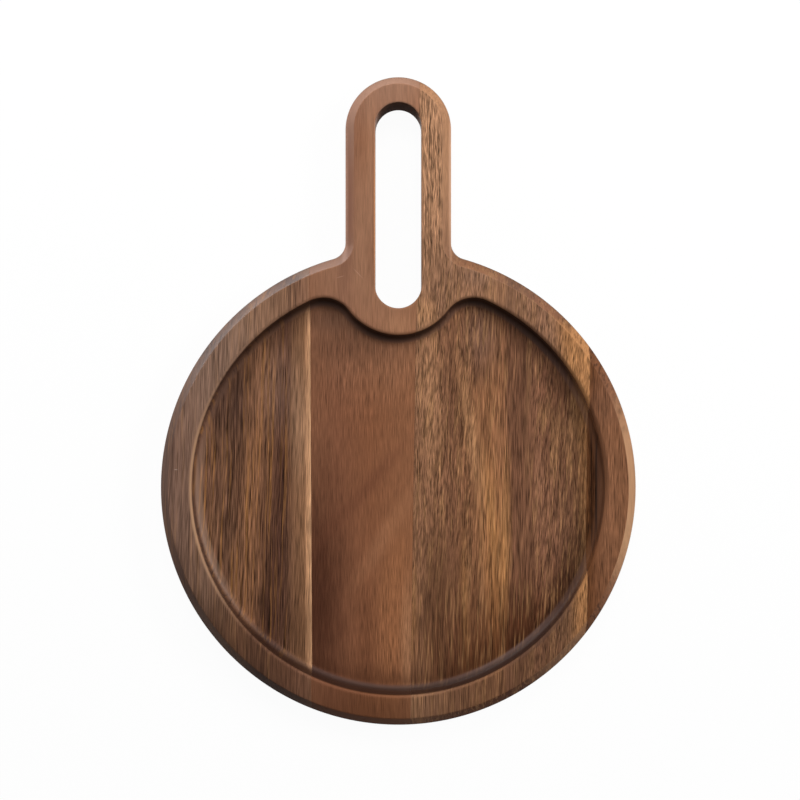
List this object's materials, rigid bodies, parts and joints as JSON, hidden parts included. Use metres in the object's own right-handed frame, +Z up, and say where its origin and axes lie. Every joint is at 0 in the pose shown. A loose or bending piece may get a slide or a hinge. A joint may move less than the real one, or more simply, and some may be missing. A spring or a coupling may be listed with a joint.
{
  "type": "snack tray",
  "caption": "Round edge-glued hardwood snack tray with a shallow routed recess, rounded edges and a long handle with a finger slot.",
  "frame": {"origin": "on the flat underside, below the middle of the disc", "axes": "+Z up out of the tray's recess, +Y along the handle towards its tip, +X to the right seen from above"},
  "size_m": [0.25, 0.341, 0.016],
  "materials": {
    "streaked_wood": "oiled, satin",
    "red_wood": "oiled, satin",
    "figured_wood": "oiled, satin",
    "dark_wood": "oiled, satin",
    "glue": "cured wood glue, dull"
  },
  "bodies": {
    "root": {"left_stave": "streaked_wood", "red_stave": "red_wood", "figured_stave": "figured_wood", "right_stave": "dark_wood", "left_glue_line": "glue", "centre_glue_line": "glue", "handle_glue_line": "glue", "right_glue_line": "glue"}
  },
  "joints": []
}
